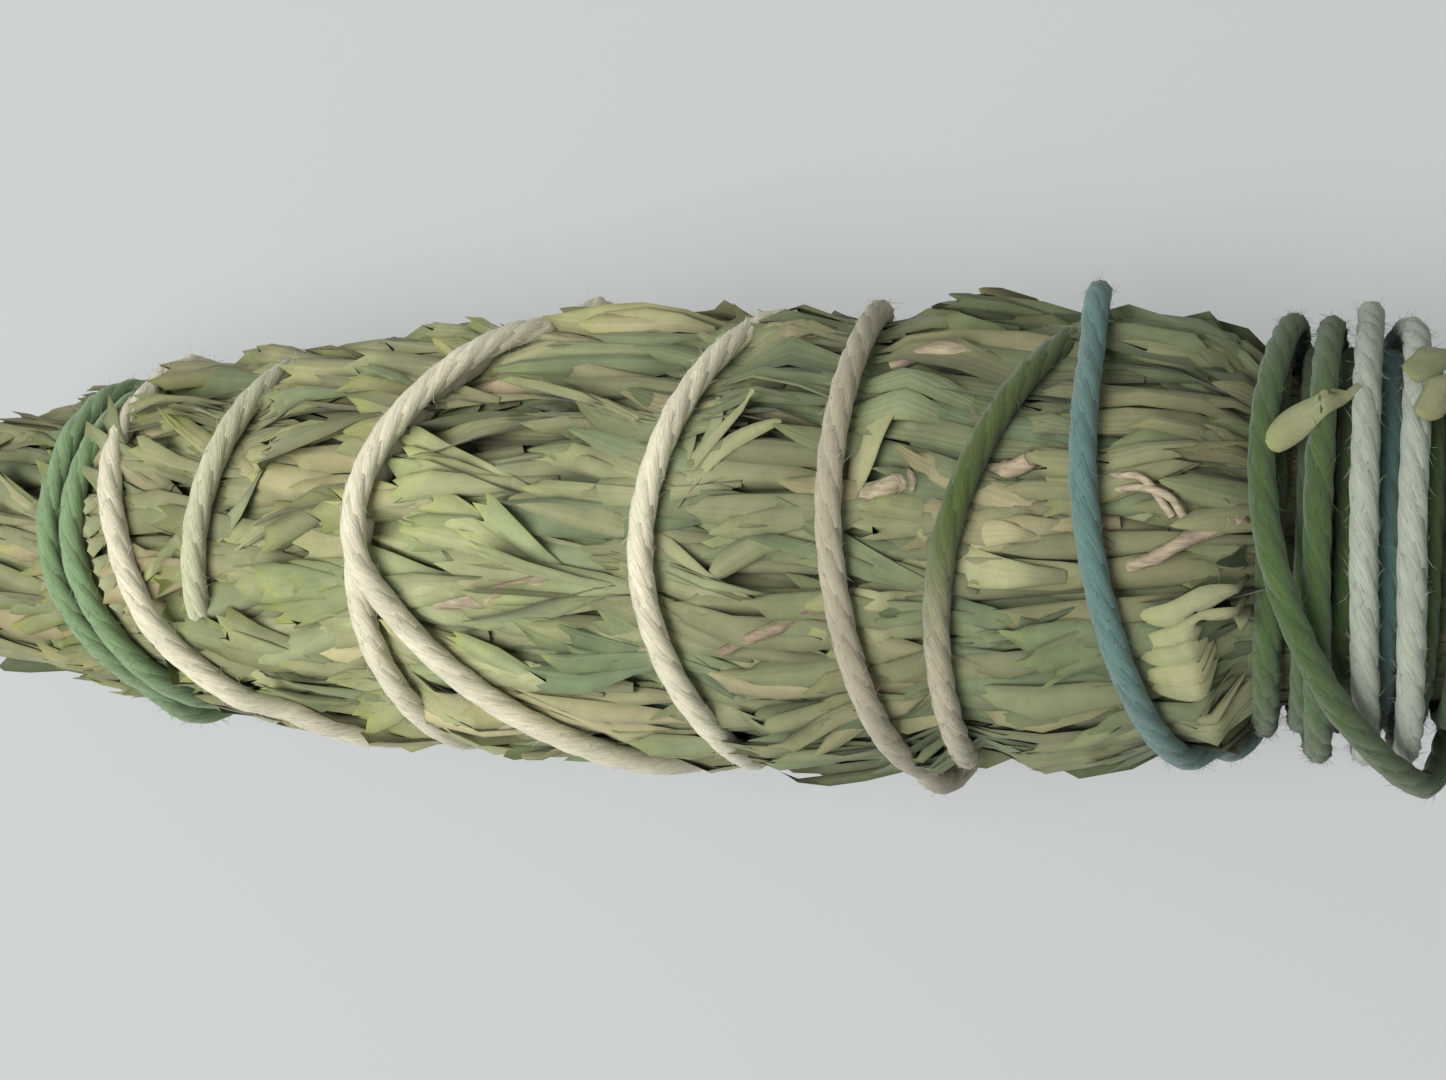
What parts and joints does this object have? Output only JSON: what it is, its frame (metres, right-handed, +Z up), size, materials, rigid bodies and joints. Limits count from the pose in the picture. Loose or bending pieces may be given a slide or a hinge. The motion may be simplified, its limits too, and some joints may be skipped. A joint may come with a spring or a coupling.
{
  "type": "smudge stick",
  "caption": "Dried sagebrush sprigs laid side by side and wound into a tapered stick with variegated yarn.",
  "frame": {"origin": "bottom centre of the bounding box, on the surface that the stick lies on", "axes": "+X along the stick from its leaf tip to its cut stems, +Z up from the surface, +Y to the stick's left seen from its tip"},
  "size_m": [0.1846, 0.0492, 0.0467],
  "materials": {
    "sagebrush_leaf": "dry, matt and felted",
    "woody_stem": "bare and matt",
    "yarn_dark_green": "soft four-ply yarn",
    "yarn_teal": "soft four-ply yarn",
    "yarn_cream": "soft four-ply yarn",
    "yarn_pale_sage": "soft four-ply yarn",
    "yarn_sage": "soft four-ply yarn"
  },
  "bodies": {
    "root": {"bare_twig_1": "woody_stem", "bare_twig_2": "woody_stem", "bare_twig_3": "woody_stem", "bare_twig_4": "woody_stem", "heart_sprig_1_leaves": "sagebrush_leaf", "heart_sprig_1_stem": "woody_stem", "heart_sprig_2_leaves": "sagebrush_leaf", "heart_sprig_2_stem": "woody_stem", "heart_sprig_3_leaves": "sagebrush_leaf", "heart_sprig_3_stem": "woody_stem", "sprig_01_leaves": "sagebrush_leaf", "sprig_01_stem": "woody_stem", "sprig_02_leaves": "sagebrush_leaf", "sprig_02_stem": "woody_stem", "sprig_03_leaves": "sagebrush_leaf", "sprig_03_stem": "woody_stem", "sprig_04_leaves": "sagebrush_leaf", "sprig_04_stem": "woody_stem", "sprig_05_leaves": "sagebrush_leaf", "sprig_05_stem": "woody_stem", "sprig_06_leaves": "sagebrush_leaf", "sprig_06_stem": "woody_stem", "sprig_07_leaves": "sagebrush_leaf", "sprig_07_stem": "woody_stem", "sprig_08_leaves": "sagebrush_leaf", "sprig_08_stem": "woody_stem", "sprig_09_leaves": "sagebrush_leaf", "sprig_09_stem": "woody_stem", "sprig_10_leaves": "sagebrush_leaf", "sprig_10_stem": "woody_stem", "yarn_01_dark_green": "yarn_dark_green", "yarn_02_teal": "yarn_teal", "yarn_03_dark_green": "yarn_dark_green", "yarn_04_cream": "yarn_cream", "yarn_05_pale_sage": "yarn_pale_sage", "yarn_06_sage": "yarn_sage", "yarn_07_cream": "yarn_cream", "yarn_08_teal": "yarn_teal", "yarn_09_cream": "yarn_cream", "yarn_10_dark_green": "yarn_dark_green"}
  },
  "joints": []
}
